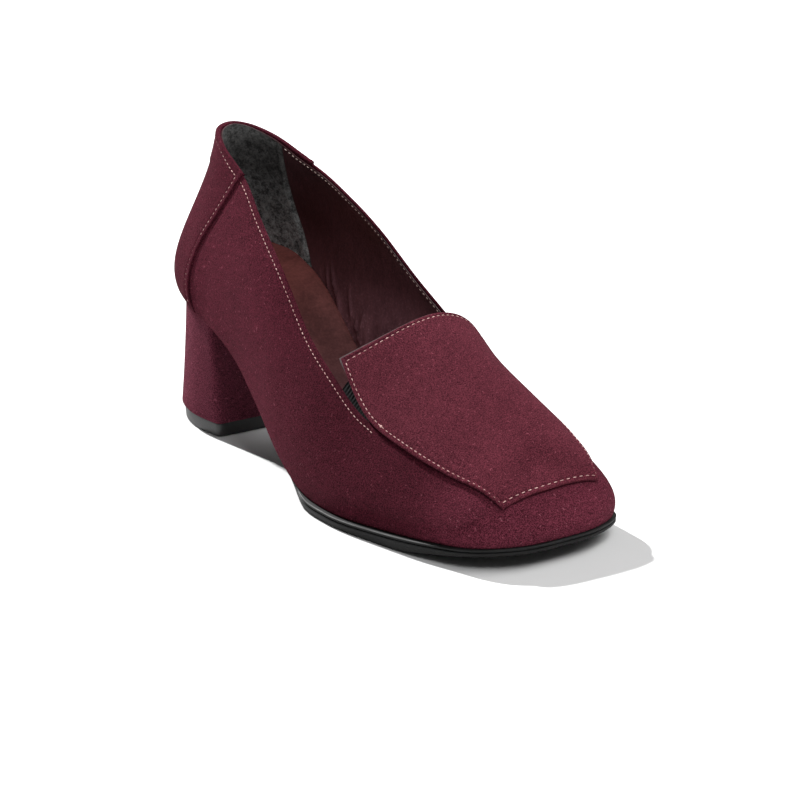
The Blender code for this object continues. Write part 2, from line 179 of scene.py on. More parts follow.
# Bottom of the last, seen from the side: height of the feather edge over the floor
PROFILE = named_rows(
    "y z",
    (-5, 54.5),
    (15, 52.5),
    (37, 49.5),
    (56, 44.0),
    (74, 34.0),
    (92, 23.0),
    (110, 13.0),
    (130, 6.8),
    (150, 6.0),
    (180, 6.8),
    (205, 8.5),
    (235, 10.8),
)

# Ribs of the last from the toe round to the back of the heel. Each rib rises in a vertical plane
# from the feather edge, outer (out_) or inner (in_), to the ridge of the last at top_, where
# top_x is half the width of the last's open top. swell and rise place the handle over the feather
# edge, crown and drop the handle beside the ridge. The collar is a height, and a rib whose
# collar is over its ridge is covered.
RIBS = named_rows(
    "name out_x out_y in_x in_y top_c top_x top_y top_z swell rise crown drop collar_out collar_in",
    ("toe", -2, 233.5, -2, 233.5, -4, 0, 213, 31, 2.5, 7, 12, 8, 200, 200),
    ("toe_corner", 17, 232, -22, 230.5, -5, 0, 211, 32.5, 2.5, 8, 15, 7, 200, 200),
    ("toe_side", 30.5, 222.5, -37, 221, -6.5, 0, 204, 38, 4, 10, 22, 5, 200, 200),
    ("toe_back", 37.5, 204, -41.5, 201, -8, 0, 194, 44, 3, 13, 25.5, 2.5, 200, 200),
    ("joint_front", 41.5, 181, -42, 178, -7.5, 0, 178, 53, 3, 18, 25, 0.5, 37.5, 43.5),
    ("joint", 44.5, 155, -39, 156, -8, 0, 160, 62, 3, 21, 25.5, -1, 39.9, 48.5),
    ("instep_front", 42, 131, -33, 134, -9.5, 0, 140, 71, 4, 36, 31.5, -2, 51.7, 55),
    ("instep", 37, 107, -27, 110, -8, 0, 120, 84, 4, 40, 36, 4, 65.1, 73.2),
    ("waist", 31.5, 84, -25, 87, -4, 6, 100, 100, 3, 40, 32, 10, 84, 91),
    ("seat_front", 27.5, 62, -25, 63, -2, 11, 76, 112, 3, 34, 21, 15, 98.4, 102.4),
    ("seat", 25, 40, -24.5, 40, -1.5, 13, 52, 119, 3, 30, 10, 17, 110.6, 110.6),
    ("heel_side", 22, 22, -22, 22, -0.5, 12.5, 32, 123.5, 8, 16, 3.5, 27, 119, 117.3),
    ("heel_round", 14.5, 9.5, -14.5, 9.5, 0, 7.5, 22, 126, 15.5, 13, 1.2, 30, 122.6, 121.8),
    ("heel", 0, 4, 0, 4, 0, 0, 19, 127, 19, 12, 1, 32, 124, 124),
)

# Insole: its thickness at a station, padded under the heel
INSOLE = named_rows(
    "y thick",
    (-5, 17),
    (20, 18),
    (32, 17.5),
    (44, 14.5),
    (56, 9.5),
    (66, 5.4),
    (78, 3),
    (95, 2.4),
    (240, 2.4),
)

# Outsole: its thickness at a station, down to little more than its rim at the toe
SOLE = named_rows(
    "y thick",
    (40, 3.2),
    (110, 3.2),
    (140, 4.6),
    (180, 5.4),
    (197, 4.8),
    (211, 3.6),
    (225, 2.7),
    (240, 2.5),
)

# Edge of the top piece from its top down: share of its height, step inward
TOP_PIECE_EDGE = named_rows(
    "height inset",
    (0.0, 0.35),
    (0.05, 0.1),
    (0.12, 0.0),
    (0.5, 0.12),
    (0.88, 0.25),
    (0.95, 0.4),
    (1.0, 0.8),
)

# Edge of the outsole from its top down: share of the rim, share of the tread under it, step inward
SOLE_EDGE = named_rows(
    "rim tread inset",
    (0.0, 0.0, 0.5),
    (0.05, 0.0, 0.14),
    (0.12, 0.0, 0.0),
    (0.3, 0.0, 0.0),
    (0.36, 0.0, 0.14),
    (0.4, 0.0, 0.45),
    (0.46, 0.0, 0.6),
    (0.52, 0.0, 0.45),
    (0.56, 0.0, 0.18),
    (0.62, 0.0, 0.08),
    (0.86, 0.0, 0.08),
    (0.93, 0.0, 0.16),
    (0.98, 0.0, 0.35),
    (1.0, 0.0, 0.55),
    (1.0, 0.15, 0.62),
    (1.0, 0.5, 0.68),
    (1.0, 0.85, 0.8),
    (1.0, 0.96, 1.0),
    (1.0, 1.0, 1.4),
)

# How far the outsole stands out beyond the upper's wall at a station
LEDGE = named_rows(
    "y out",
    (0, -3.2),
    (70, -3.2),
    (100, -2.8),
    (116, -1.9),
    (122, -1.0),
    (127, 0.2),
    (133, 1.3),
    (150, 1.8),
    (205, 1.7),
    (225, 1.0),
    (240, 1.0),
)

# Heel block from its seat to its foot: how far the back and the front corners stand out beyond
# the feather edge, and how far the breast leans forward
HEEL = named_rows(
    "share back corner lean",
    (0.0, 1.6, 1.2, 0.0),
    (0.25, 2.0, 0.4, 0.6),
    (0.6, 2.8, -0.2, 2.2),
    (1.0, 4.0, -0.4, 4.0),
)

# Apron in plan, from its rear edge to its front edge
APRON = named_rows(
    "share out_x out_y in_x in_y",
    (0.0, 27.4, 133.2, -29, 142),
    (0.2, 31.2, 151.5, -32, 158),
    (0.48, 31.5, 177, -34, 180),
    (0.74, 27.8, 201, -33.5, 202),
    (1.0, 19.6, 226.2, -28, 223.5),
)

# Apron: bow of its rear edge, on a curve s (1 - s)^2 that peaks at 4 / 27, its lift off the vamp, wall,
# rounding and seam, the lining under its rear, and a knot in its seam
APRON_BOW = 5
BOW_TO_PEAK = 27 / 4
APRON_LIFT = 0.5
APRON_WALL = 1.3
APRON_ROUND = 0.6
APRON_SEAM = 1.9
APRON_LINING_END = 0.4
APRON_LINING_OUT = 0.009
APRON_LINING_WALL = 0.42
APRON_LINING_RISE = 0.02
APRON_LINING_TUCK = 3
APRON_LINING_TUCKED = 0.16
KNOT_STATION = 165
KNOT_RADIUS = 0.55

# Height in metres, over the shoe, from which the apron's points are dropped
SKY = 0.2

# Counter and heel grip: their reach along the feather edge from the back, at a share of the wall
COUNTER = named_rows(
    "share reach",
    (0.0, 37),
    (0.2, 35),
    (0.4, 37),
    (0.7, 45),
    (1.0, 48),
)
GRIP = named_rows(
    "share reach",
    (0.0, 53),
    (0.35, 46),
    (0.65, 38),
    (1.0, 32),
)

# Reaches from the back where the columns crowd: the counter's front edge and the lining's creases
COUNTER_MIDDLE = 41
CREASES_MIDDLE = 70

# Elastic gores between the collar and the apron: stations of their ends, shares of the rib that they
# take up under and over the collar, wall and ribs, and how they come out over the collar
GORE_REAR_Y = 137
GORE_FRONT_Y = 161
GORE_UNDER = 0.03
GORE_OVER = 0.2
GORE_WALL = 0.5
GORE_RIBS = 17
GORE_RELIEF = 0.1
GORE_LIFTS = 0.02
GORE_SUNK = 0.05
GORE_CLEAR = 0.1
GORE_FADE = 4

# Stations between which painted light lightens the suede, towards the toe and towards the rear
TOE_LIGHT_SPAN = (193, 230)
REAR_LIGHT_SPAN = (130, 88)

# Heights between which painted shade darkens the heel grip towards the collar
GRIP_SHADE_SPAN = (76, 105)

# Tinted bands of the leather inside: axis and span over which the tint comes on, and how strongly it is
# flecked pale, with the tint of a fleck. The lining's bands are painted light and painted glints
LINING_PAINTED_LIGHT = named_rows(
    "span tint scuffs",
    # painted light: the lining lighter low on its wall, where light comes in
    (("z", 86, 62), (2.3, 2.75, 2.75), 0.0),
    # painted light: lighter still lower down, its pale flecks painted glints
    (("z", 68, 44), (1.7, 1.9, 1.9), 0.35),
)
# Sock: darker and greyer towards the front, with a few pale flecks
SOCK_FRONT_TINT = named_rows(
    "span tint scuffs",
    (("y", 42, 100), (0.44, 0.68, 0.88), 0.1),
)
FLECK_TINT = (3, 4, 4)

# Soft dents of the quarters and the vamp: place from the back, share up the rib, size and depth
DENTS = named_rows(
    "reach share wide high depth",
    (-62, 0.45, 10, 0.16, 0.35),
    (-96, 0.3, 16, 0.14, 0.4),
    (-128, 0.25, 18, 0.12, 0.3),
    (-163, 0.3, 16, 0.15, 0.35),
    (-196, 0.32, 14, 0.16, 0.25),
    (70, 0.4, 13, 0.16, 0.4),
    (112, 0.3, 17, 0.14, 0.35),
    (160, 0.3, 18, 0.15, 0.35),
)

# Creases of the lining: place from the back and share at both ends, width and height. Each fades in
# over a part of its length at both ends
CREASES = named_rows(
    "reach_a share_a reach_b share_b wide high",
    (58, 0.26, 60, 0.12, 0.9, 0.7),
    (61, 0.27, 66, 0.12, 0.7, 1.2),
    (66, 0.17, 68, 0.05, 1.3, 0.8),
    (73, 0.25, 76, 0.08, 0.8, 0.7),
    (76, 0.14, 83, 0.05, 0.8, 1.2),
    (84, 0.2, 81, 0.06, 1.0, 0.9),
    (86, 0.22, 84, 0.05, 1.6, 0.4),
    (96, 0.3, 92, 0.08, 2.0, 0.4),
    (-70, 0.3, -74, 0.08, 1.6, 0.4),
    (-92, 0.3, -88, 0.07, 1.9, 0.4),
)
CREASE_ENDS = 3

# Camera fitted to the photograph: angles in degrees, lengths in millimetres
VIEW_AZIMUTH = 37.06
VIEW_ELEVATION = 18.04
VIEW_ROLL = -1.21
VIEW_DISTANCE = 1775.3
VIEW_AIM = (0, 120, 55)
VIEW_OFFSET = (8.9, -20.4)
VIEW_LENS = 202.8

# Floor and lights, in metres and watts. The floor lies a hair under the shoe
FLOOR_COLOUR = (0.65, 0.65, 0.65)
FLOOR_DROP = 0.0001
FLOOR_HALF = 6
SURROUND = 0.15
LIGHT_AIM = (0, 0, 0.03)
LIGHTS = named_rows(
    "name power size place",
    ("inner_side", 62, 2.2, (-1.75, 0.7, 2.3)),
    ("front", 24, 1.0, (0.36, 1.35, 1.9)),
    ("behind", 85, 0.06, (0.108, -1.466, 1.356)),
)


def bessel_slopes(knots, values):
    """Slopes at the knots of a smooth open line, each from the parabola through three neighbours."""
    steps = np.diff(knots)[:, None]
    secants = np.diff(values, axis=0) / steps
    inner = (steps[1:] * secants[:-1] + steps[:-1] * secants[1:]) / (steps[1:] + steps[:-1])
    first = 2 * secants[:1] - inner[:1]
    last = 2 * secants[-1:] - inner[-1:]
    return np.concatenate([first, inner, last])


def hermite(knots, values, slopes, at):
    """Values at the places asked for, on the cubic line with these knots and slopes."""
    i = np.clip(np.searchsorted(knots, at, side="right") - 1, 0, len(knots) - 2)
    step = (knots[i + 1] - knots[i])[..., None]
    f = (at[..., None] - knots[i][..., None]) / step
    rise = (1 + 2 * f) * (1 - f) ** 2 * values[i] + f * f * (3 - 2 * f) * values[i + 1]
    return rise + f * (1 - f) * step * ((1 - f) * slopes[i] - f * slopes[i + 1])


def smooth_table(table, at):
    """Columns (..., n) of a table at the places asked for in its first column, on smooth lines."""
    rows = np.array(table, float)
    knots = rows[:, 0]
    values = rows[:, 1:]
    return hermite(knots, values, bessel_slopes(knots, values), np.asarray(at, float))


def profile_height(y):
    """Height of the feather edge at a station."""
    return smooth_table(PROFILE, y)[..., 0]


def seat_height(y):
    """Height of the outsole's and the heel's top, against the turned-under suede."""
    return profile_height(y) - SUEDE_OUT


def bezier(p, v):
    """Points of cubic curves with the handles p (..., 4, 3), at the shares v."""
    v = np.asarray(v, float)[..., None]
    return (
        (1 - v) ** 3 * p[..., 0, :]
        + 3 * v * (1 - v) ** 2 * p[..., 1, :]
        + 3 * v * v * (1 - v) * p[..., 2, :]
        + v**3 * p[..., 3, :]
    )


def unit(vectors):
    """Vectors (..., n) at length 1."""
    return vectors / np.linalg.norm(vectors, axis=-1, keepdims=True)


def rounded(share):
    """Quarter of a circle: 0 at 0, rising steeply and level from 1 on."""
    return np.sqrt(1 - (1 - np.clip(share, 0, 1)) ** 2)


def bell(distance, wide):
    """Bell curve of height 1 at distance 0."""
    return np.exp(-((distance / wide) ** 2))


def ease(share):
    """Smooth step from 0 to 1."""
    share = np.clip(share, 0, 1)
    return share * share * (3 - 2 * share)


def rib_handles(rib, side):
    """Four Bezier points and the collar share of one rib, side 1 outer or -1 inner."""
    x, y, collar = (
        (rib.out_x, rib.out_y, rib.collar_out) if side > 0 else (rib.in_x, rib.in_y, rib.collar_in)
    )
    foot = np.array([x, y, float(profile_height(y))])
    top = np.array([rib.top_c + side * rib.top_x, rib.top_y, rib.top_z])
    out = unit((foot - top) * (1, 1, 0))
    low = foot + rib.swell * out + (0, 0, rib.rise)
    high = top + rib.crown * out - (0, 0, rib.drop)
    shares = np.linspace(0, 1, SHARE_STEPS)
    heights = bezier(np.array([foot, low, high, top]), shares)[:, 2]
    return np.concatenate([foot, low, high, top, [np.interp(collar, heights, shares)]])


def loop_of_ribs():
    """Knots and rows of the closed loop of ribs: toe, outer side, heel, inner side and toe again."""
    outer = [rib_handles(rib, 1) for rib in RIBS]
    inner = [rib_handles(rib, -1) for rib in RIBS]
    steps = [
        (math.dist(a[:2], b[:2]) + math.dist(c[:2], d[:2])) / 2
        for a, b, c, d in zip(outer, outer[1:], inner, inner[1:])
    ]
    half = np.concatenate([[0], np.cumsum(steps)])
    knots = np.concatenate([half, 2 * half[-1] - half[-2::-1]])
    rows = np.array(outer + inner[-2::-1])
    before = slice(-1 - LOOP_OVERLAP, -1)
    after = slice(1, 1 + LOOP_OVERLAP)
    wide_knots = np.concatenate([knots[before] - knots[-1], knots, knots[after] + knots[-1]])
    wide_rows = np.concatenate([rows[before], rows, rows[after]])
    return half, wide_knots, wide_rows, bessel_slopes(wide_knots, wide_rows)


HALF_KNOTS, LOOP_KNOTS, LOOP_ROWS, LOOP_SLOPES = loop_of_ribs()
HALF = HALF_KNOTS[-1]
SEAT_PLACE = HALF_KNOTS[[rib.name for rib in RIBS].index("seat")]


def rib_at(u):
    """Bezier points (..., 4, 3) and collar share (...) of the rib at a place u round the last."""
    row = hermite(LOOP_KNOTS, LOOP_ROWS, LOOP_SLOPES, np.asarray(u, float))
    return row[..., :12].reshape(row.shape[:-1] + (4, 3)), np.clip(row[..., 12], 0, 1)


def last_point(u, v):
    """Point of the last at a place u round it and a share v up its rib."""
    p, _ = rib_at(u)
    return bezier(p, v)


def rib_speed(u, v):
    """Millimetres per share, up the rib."""
    ahead = last_point(u, v + SHARE_STEP)
    behind = last_point(u, v - SHARE_STEP)
    return np.linalg.norm(ahead - behind, axis=-1) / (2 * SHARE_STEP)


def last_directions(u, v):
    """Outward normal and upward direction of the last, short of the ridge."""
    v = np.minimum(v, RIDGE_SHARE)
    along = last_point(u + PLACE_STEP, v) - last_point(u - PLACE_STEP, v)
    upward = last_point(u, v + SHARE_STEP) - last_point(u, v - SHARE_STEP)
    return unit(np.cross(upward, along)), unit(upward)


def last_frame(u, v):
    """Point, outward normal and upward direction of the last. Both sides share the normal of a ridge."""
    normal, upward = last_directions(u, v)
    far_normal, _ = last_directions(2 * HALF - u, v)
    ones = np.ones_like(v)
    apart = np.linalg.norm(last_point(u, ones) - last_point(2 * HALF - u, ones), axis=-1)
    high = np.clip((v - RIDGE_FROM) / RIDGE_LENGTH, 0, 1)
    weight = high**2 * np.clip(1 - apart / RIDGE_WIDE, 0, 1)
    return last_point(u, v), unit(normal + weight[..., None] * far_normal), upward


def wall_point(u, v, out):
    """Point at a distance out from the last."""
    point, normal, _ = last_frame(u, v)
    return point + np.asarray(out, float)[..., None] * normal


def feather(u, out):
    """Plan (..., 2) of the feather edge at a place u, moved outward by out."""
    ahead = rib_at(u + PLACE_STEP)[0][..., 0, :2]
    behind = rib_at(u - PLACE_STEP)[0][..., 0, :2]
    along = unit(ahead - behind)
    normal = np.stack([-along[..., 1], along[..., 0]], axis=-1)
    return rib_at(u)[0][..., 0, :2] + np.asarray(out, float)[..., None] * normal


def place_at_station(y, side):
    """Place round the last whose feather edge lies at the station y, side 1 outer or -1 inner."""
    places = np.linspace(0, HALF, SHARE_STEPS)
    stations = rib_at(places if side > 0 else 2 * HALF - places)[0][:, 0, 1]
    place = np.interp(-y, -stations, places)
    return place if side > 0 else 2 * HALF - place


def join(plan, height):
    """Points (..., 3) from their plan and their height."""
    return np.concatenate([plan, np.asarray(height, float)[..., None]], axis=-1)


def collar_share(u, drop):
    """Share of the rib at a drop below the collar. The drop fades to nothing where the vamp closes."""
    _, collar = rib_at(u)
    return collar - drop * openness(u) / rib_speed(u, collar)


def openness(u):
    """1 along the collar, falling to 0 where the vamp closes over the foot."""
    nearest = np.minimum(rib_at(u)[1], rib_at(2 * HALF - u)[1])
    return np.clip((1 - nearest) / VAMP_CLOSES, 0, 1)


def inside_reach(reaches, u, v):
    """Distance behind the front edge of a piece at the back, negative in front of it."""
    share = np.clip(v / np.maximum(rib_at(u)[1], COLLAR_LEAST), 0, 1)
    return smooth_table(reaches, share)[..., 0] - np.abs(u - HALF)


def sheets(*lattices):
    """New bmesh of lattices of points (rows, columns, 3), each a grid of faces."""
    bm = bmesh.new()
    for points in lattices:
        rows = points.shape[0] - 1
        columns = points.shape[1] - 1
        made = bmesh.ops.create_grid(bm, x_segments=columns, y_segments=rows, size=1)["verts"]
        placed = (points + SHIFT) * MM
        for vert in made:
            column = round((vert.co.x + 1) / 2 * columns)
            row = round((vert.co.y + 1) / 2 * rows)
            vert.co = placed[row, column]
    return bm


def shell(top, under):
    """Lattices of a closed shell: its two faces and the four strips between their edges."""
    edges = (np.s_[0], np.s_[-1], np.s_[:, 0], np.s_[:, -1])
    return [top, under, *(np.stack([top[edge], under[edge]]) for edge in edges)]


def add_object(name, data):
    """Object in the scene, of a mesh, a light or a camera."""
    made = bpy.data.objects.new(name, data)
    bpy.context.scene.collection.objects.link(made)
    return made


def new_mesh(name, bm, material):
    """Mesh with one material, of a bmesh that is freed."""
    mesh = bpy.data.meshes.new(name)
    bm.to_mesh(mesh)
    bm.free()
    mesh.materials.append(material)
    return mesh


def finish_piece(name, bm, material, node=None, crease=55):
    """Piece of a closed bmesh that rides on the shoe, with its seams welded and its faces outward."""
    bmesh.ops.remove_doubles(bm, verts=bm.verts[:], dist=WELD)
    bmesh.ops.dissolve_degenerate(bm, edges=bm.edges[:], dist=WELD / 4)
    bmesh.ops.recalc_face_normals(bm, faces=bm.faces[:])
    mesh = new_mesh(name, bm, material)
    mesh.shade_smooth()
    mesh.set_sharp_from_angle(angle=math.radians(crease))
    made = add_object(name, mesh)
    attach(made, "root")
    if node:
        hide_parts(node)


def hem(place, top, outer, inner, wall_rows, roll_rows):
    """Lattices of a wall on the last: up its outer face, over its rounded top, down its inner face.

    place(t) gives the places round the last at the shares t of the wall (rows, 1), top(u) the share of
    the rib where the wall ends, and outer and inner the distances from the last at (u, v, below), where
    below is the distance from the top edge.
    """
    t = (1 - (1 - np.linspace(0, 1, wall_rows + 1)) ** ROWS_CROWD)[:, None]
    u = place(t)
    end = top(u)
    speed = rib_speed(u, end)
    nothing = np.zeros_like(u)
    radius = openness(u) * (outer(u, end, nothing) - inner(u, end, nothing)) / 2
    centre = end - radius / speed
    v = t * centre
    below = (centre - v) * speed + radius
    outside = wall_point(u, v, outer(u, v, below))
    inside = wall_point(u, v, inner(u, v, below))
    middle = (outside[-1] + inside[-1]) / 2
    reach = (outside[-1] - inside[-1]) / 2
    _, _, upward = last_frame(u[-1], v[-1])
    turn = np.linspace(0, math.pi, roll_rows + 1)[:, None, None]
    roll = middle + np.cos(turn) * reach + np.sin(turn) * radius[-1][:, None] * upward
    return outside, roll, inside[::-1]


def level(out):
    """Face of a wall at the same distance from the last all over."""
    return lambda u, v, below: out + 0 * u


def open_roll(roll, u):
    """Columns of a roll along the open collar, without those where the vamp is closed."""
    closed = np.flatnonzero(openness(u) <= 0)
    middle = len(u) // 2
    first = closed[closed < middle].max()
    last = closed[closed > middle].min()
    return roll[:, first:last + 1]


def round_the_last(columns, crowding=0, reach=0, wide=1):
    """Places round the whole last from the toe, crowded at a reach to both sides of the heel's middle."""
    even = np.linspace(0, 2 * HALF, LOOP_STEPS)
    crowd = np.cumsum(1 + crowding * bell(np.abs(even - HALF) - reach, wide))
    return np.interp(np.linspace(crowd[0], crowd[-1], columns + 1), crowd, even)


def reach_places(reaches, columns):
    """Places across a piece at the back, whose reach to both sides is in a table."""
    s = np.sin(np.linspace(-math.pi / 2, math.pi / 2, columns + 1))
    return lambda t: HALF + s * smooth_table(reaches, t[:, 0])


def dent_depth(u, v):
    """Depth of the soft dents of the suede."""
    depth = np.zeros_like(u)
    for dent in DENTS:
        across = bell(u - HALF - dent.reach, dent.wide)
        depth = depth + dent.depth * across * bell(v - dent.share, dent.high)
    return depth


def crease_height(u, v):
    """Height of the creases of the lining, each a soft ridge between two ends."""
    height = np.zeros_like(u)
    for crease in CREASES:
        share = (v - crease.share_a) / (crease.share_b - crease.share_a)
        line = crease.reach_a + share * (crease.reach_b - crease.reach_a)
        ends = np.clip(np.minimum(share, 1 - share) * CREASE_ENDS, 0, 1)
        height = height + crease.high * ends * bell(u - HALF - line, crease.wide)
    return height


def make_upper(suede):
    """Suede of vamp and quarters: turned under at the feather edge and folded over at the collar."""
    u = round_the_last(560, crowding=8, reach=COUNTER_MIDDLE, wide=8)

    def top(u):
        covered = ease((inside_reach(COUNTER, u, rib_at(u)[1]) + LAP_AHEAD) / LAP_EASE)
        return collar_share(u, COUNTER_COVER * covered)

    def outer(u, v, below):
        seam = COLLAR_GROOVE * bell(below - COLLAR_SEAM, GROOVE_WIDE) * openness(u)
        beside = inside_reach(COUNTER, u, v) + CREVICE_AHEAD
        crevice = CREVICE_DEPTH * bell(beside, CREVICE_WIDE) * np.clip(below / CREVICE_FADE, 0, 1)
        return SUEDE_OUT - seam - crevice - dent_depth(u, v)

    outside, roll, inside = hem(
        lambda t: u + 0 * t, top, outer, level(SUEDE_IN), wall_rows=64, roll_rows=8
    )
    foot, normal, _ = last_frame(u, np.zeros_like(u))
    turn = np.linspace(-math.pi / 2, 0, 7)[:-1, None, None]
    under = foot + SUEDE_OUT * (np.cos(turn) * normal + np.sin(turn) * np.array([0, 0, 1]))
    plan = feather(u, np.full_like(u, -LASTING_MARGIN))
    margin = join(plan, seat_height(plan[..., 1]))[None]
    outside = np.concatenate([margin, under, outside])
    inside = np.concatenate([inside, margin])
    finish_piece("upper_suede", sheets(outside, inside, open_roll(roll, u)), suede, "upper")


def make_lining(leather):
    """Leather lining of vamp and quarters, its cut edge just below the folded suede."""
    u = round_the_last(480, crowding=5, reach=CREASES_MIDDLE, wide=16)

    def inner(u, v, below):
        seam = LINING_GROOVE * bell(below - (LINING_SEAM - LINING_DROP), THIN_GROOVE_WIDE) * openness(u)
        return LINING_IN + seam - crease_height(u, v)

    top = partial(collar_share, drop=LINING_DROP)
    outside, roll, inside = hem(
        lambda t: u + 0 * t, top, level(LINING_OUT), inner, wall_rows=44, roll_rows=4
    )
    foot = np.stack([outside[0], inside[-1]])
    bm = sheets(outside, inside, open_roll(roll, u), foot)
    finish_piece("quarter_lining", bm, leather)


def make_counter(suede):
    """Counter lapped over the back of the quarters and folded over their collar."""

    def inner(u, v, below):
        fold = ease((COUNTER_COVER - below) / COUNTER_FOLD)
        slit = COUNTER_SLIT * (1 - ease(inside_reach(COUNTER, u, v) / COUNTER_SLIT_WIDE))
        return COUNTER_IN + slit * (1 - fold) + fold * (SUEDE_IN - COUNTER_IN)

    def outer(u, v, below):
        behind = inside_reach(COUNTER, u, v)
        low = inner(u, v, below)
        banded = ease((COUNTER_BAND - below) / COUNTER_BAND_EASE)
        band = COUNTER_BAND_RISE * banded * bell(u - HALF, COUNTER_BAND_WIDE)
        top_seam = bell(below - COLLAR_SEAM - COUNTER_RISE, GROOVE_WIDE)
        seams = top_seam + bell(behind - COLLAR_SEAM, GROOVE_WIDE)
        tucked = COUNTER_TUCK * (1 - ease(v / COUNTER_TUCK_SHARE))
        puff = COUNTER_OUT + band - SEAM_BED * np.clip(seams, 0, 1) - tucked
        return low + (puff - low) * rounded(behind / COUNTER_ROUND)

    top = partial(collar_share, drop=-COUNTER_RISE)
    outside, roll, inside = hem(reach_places(COUNTER, 110), top, outer, inner, wall_rows=60, roll_rows=8)
    bm = sheets(outside, roll, inside, np.stack([outside[0], inside[-1]]))
    finish_piece("heel_counter_suede", bm, suede, "heel_counter")


def make_grip(nap):
    """Heel grip of dark napped leather, glued over the lining at the back."""

    def inner(u, v, below):
        inside = np.minimum(inside_reach(GRIP, u, v), below)
        return GRIP_OUT - GRIP_EDGE + (GRIP_IN - GRIP_OUT) * ease(inside / GRIP_BEVEL)

    top = partial(collar_share, drop=LINING_DROP + GRIP_DROP)
    outside, roll, inside = hem(
        reach_places(GRIP, 90), top, level(GRIP_OUT), inner, wall_rows=44, roll_rows=4
    )
    bm = sheets(outside, roll, inside, np.stack([outside[0], inside[-1]]))
    finish_piece("heel_grip", bm, nap)


def make_gore(name, side, elastic):
    """Ribbed elastic gore: it comes out from inside the collar and goes under the apron."""
    rear = place_at_station(GORE_REAR_Y, side)
    front = place_at_station(GORE_FRONT_Y, side)
    s, t = np.meshgrid(np.linspace(0, 1, 171), np.linspace(0, 1, 25))
    u = rear + s * (front - rear)
    _, collar = rib_at(u)
    v = np.minimum(collar - GORE_UNDER + t * (GORE_UNDER + GORE_OVER), 1)
    lift = ease((v - collar - GORE_LIFTS) / (GORE_OVER - GORE_LIFTS))
    relief = GORE_RELIEF * np.cos(2 * math.pi * GORE_RIBS * s)
    out = LINING_OUT - GORE_SUNK + lift * (SUEDE_OUT - LINING_OUT - GORE_CLEAR)
    top = wall_point(u, v, out + relief * np.clip(t * GORE_FADE, 0, 1))
    under = wall_point(u, v, out - GORE_WALL)
    finish_piece(name, sheets(*shell(top, under)), elastic, name.replace("_elastic", ""))


def cover_of_last(out):
    """Search tree of the surface at a distance out from the last."""
    u, v = np.meshgrid(np.linspace(0, 2 * HALF, 281), np.linspace(0, 1, 91))
    bm = sheets(wall_point(u, v, out + 0 * u))
    tree = BVHTree.FromBMesh(bm)
    bm.free()
    return tree


def crowded(count):
    """Shares from 0 to 1, closer together at both ends."""
    t = np.linspace(0, 1, count + 1)
    return t - ENDS_CROWD * np.sin(2 * math.pi * t)


def apron_base(cover, s, t):
    """Lattice of the apron's plan dropped on the cover of the last, and its normals."""
    edge = smooth_table(APRON, t)
    plan = edge[..., :2] + s[..., None] * (edge[..., 2:] - edge[..., :2])
    plan[..., 1] += APRON_BOW * BOW_TO_PEAK * s * (1 - s) ** 2 * (1 - t) ** 2
    height = np.zeros(s.shape)
    for index in np.ndindex(s.shape):
        x, y = (plan[index] + SHIFT[:2]) * MM
        height[index] = cover.ray_cast(Vector((x, y, SKY)), Vector((0, 0, -1)))[0].z / MM
    base = join(plan, height)
    return base, unit(np.cross(np.gradient(base, axis=0), np.gradient(base, axis=1)))


def apron_lattice(cover):
    """Base and normals of the apron, and the distance from its edge."""
    base, normal = apron_base(cover, *np.meshgrid(crowded(120), crowded(150)))
    across = np.linalg.norm(np.diff(base, axis=1), axis=-1)
    along = np.linalg.norm(np.diff(base, axis=0), axis=-1)
    from_left = np.pad(np.cumsum(across, axis=1), ((0, 0), (1, 0)))
    from_rear = np.pad(np.cumsum(along, axis=0), ((1, 0), (0, 0)))
    sides = np.minimum(from_left, from_left[:, -1:] - from_left)
    ends = np.minimum(from_rear, from_rear[-1:] - from_rear)
    return base, normal, np.minimum(sides, ends)


def make_apron(suede, lattice):
    """Apron with a folded edge all round, a hair above the vamp, and its seam drawn in."""
    base, normal, inside = lattice
    half = APRON_WALL / 2 * rounded(inside / APRON_ROUND)
    seam = SEAM_BED * bell(inside - APRON_SEAM, THIN_GROOVE_WIDE)
    middle = base + (APRON_LIFT + APRON_WALL / 2) * normal
    bm = sheets(middle + (half - seam)[..., None] * normal, middle - half[..., None] * normal)
    finish_piece("apron_suede", bm, suede, "apron")


def make_apron_lining(leather, cover):
    """Lining under the rear of the apron, its cut edge showing round the rear corners."""
    s, t = np.meshgrid(crowded(60), np.linspace(-APRON_LINING_OUT, APRON_LINING_END, 46))
    tucked = APRON_LINING_TUCK * APRON_LINING_OUT * ease(t / APRON_LINING_TUCKED) - APRON_LINING_OUT
    base, normal = apron_base(cover, tucked + s * (1 - 2 * tucked), t)
    top = base + (APRON_LIFT + APRON_LINING_RISE) * normal
    under = top - APRON_LINING_WALL * normal
    finish_piece("apron_lining", sheets(*shell(top, under)), leather)


def strip(places, edge, shares):
    """Plan of a surface across the shoe from the outer edge to the inner one."""
    outer = edge(places)[None]
    inner = edge(2 * HALF - places)[None]
    return outer + shares[:, None, None] * (inner - outer)


def inside_wall(u, height):
    """Plan against the lining, where the wall reaches the height(y) of its station."""
    shares = np.linspace(0, INSOLE_REACH, SHARE_STEPS)[:, None]
    wall = wall_point(u + 0 * shares, shares + 0 * u, -INSOLE_INSET + 0 * (shares + u))
    over = wall[..., 2] - height(wall[..., 1])
    columns = range(len(u))
    return np.array([[np.interp(0, over[:, i], wall[:, i, axis]) for axis in (0, 1)] for i in columns])


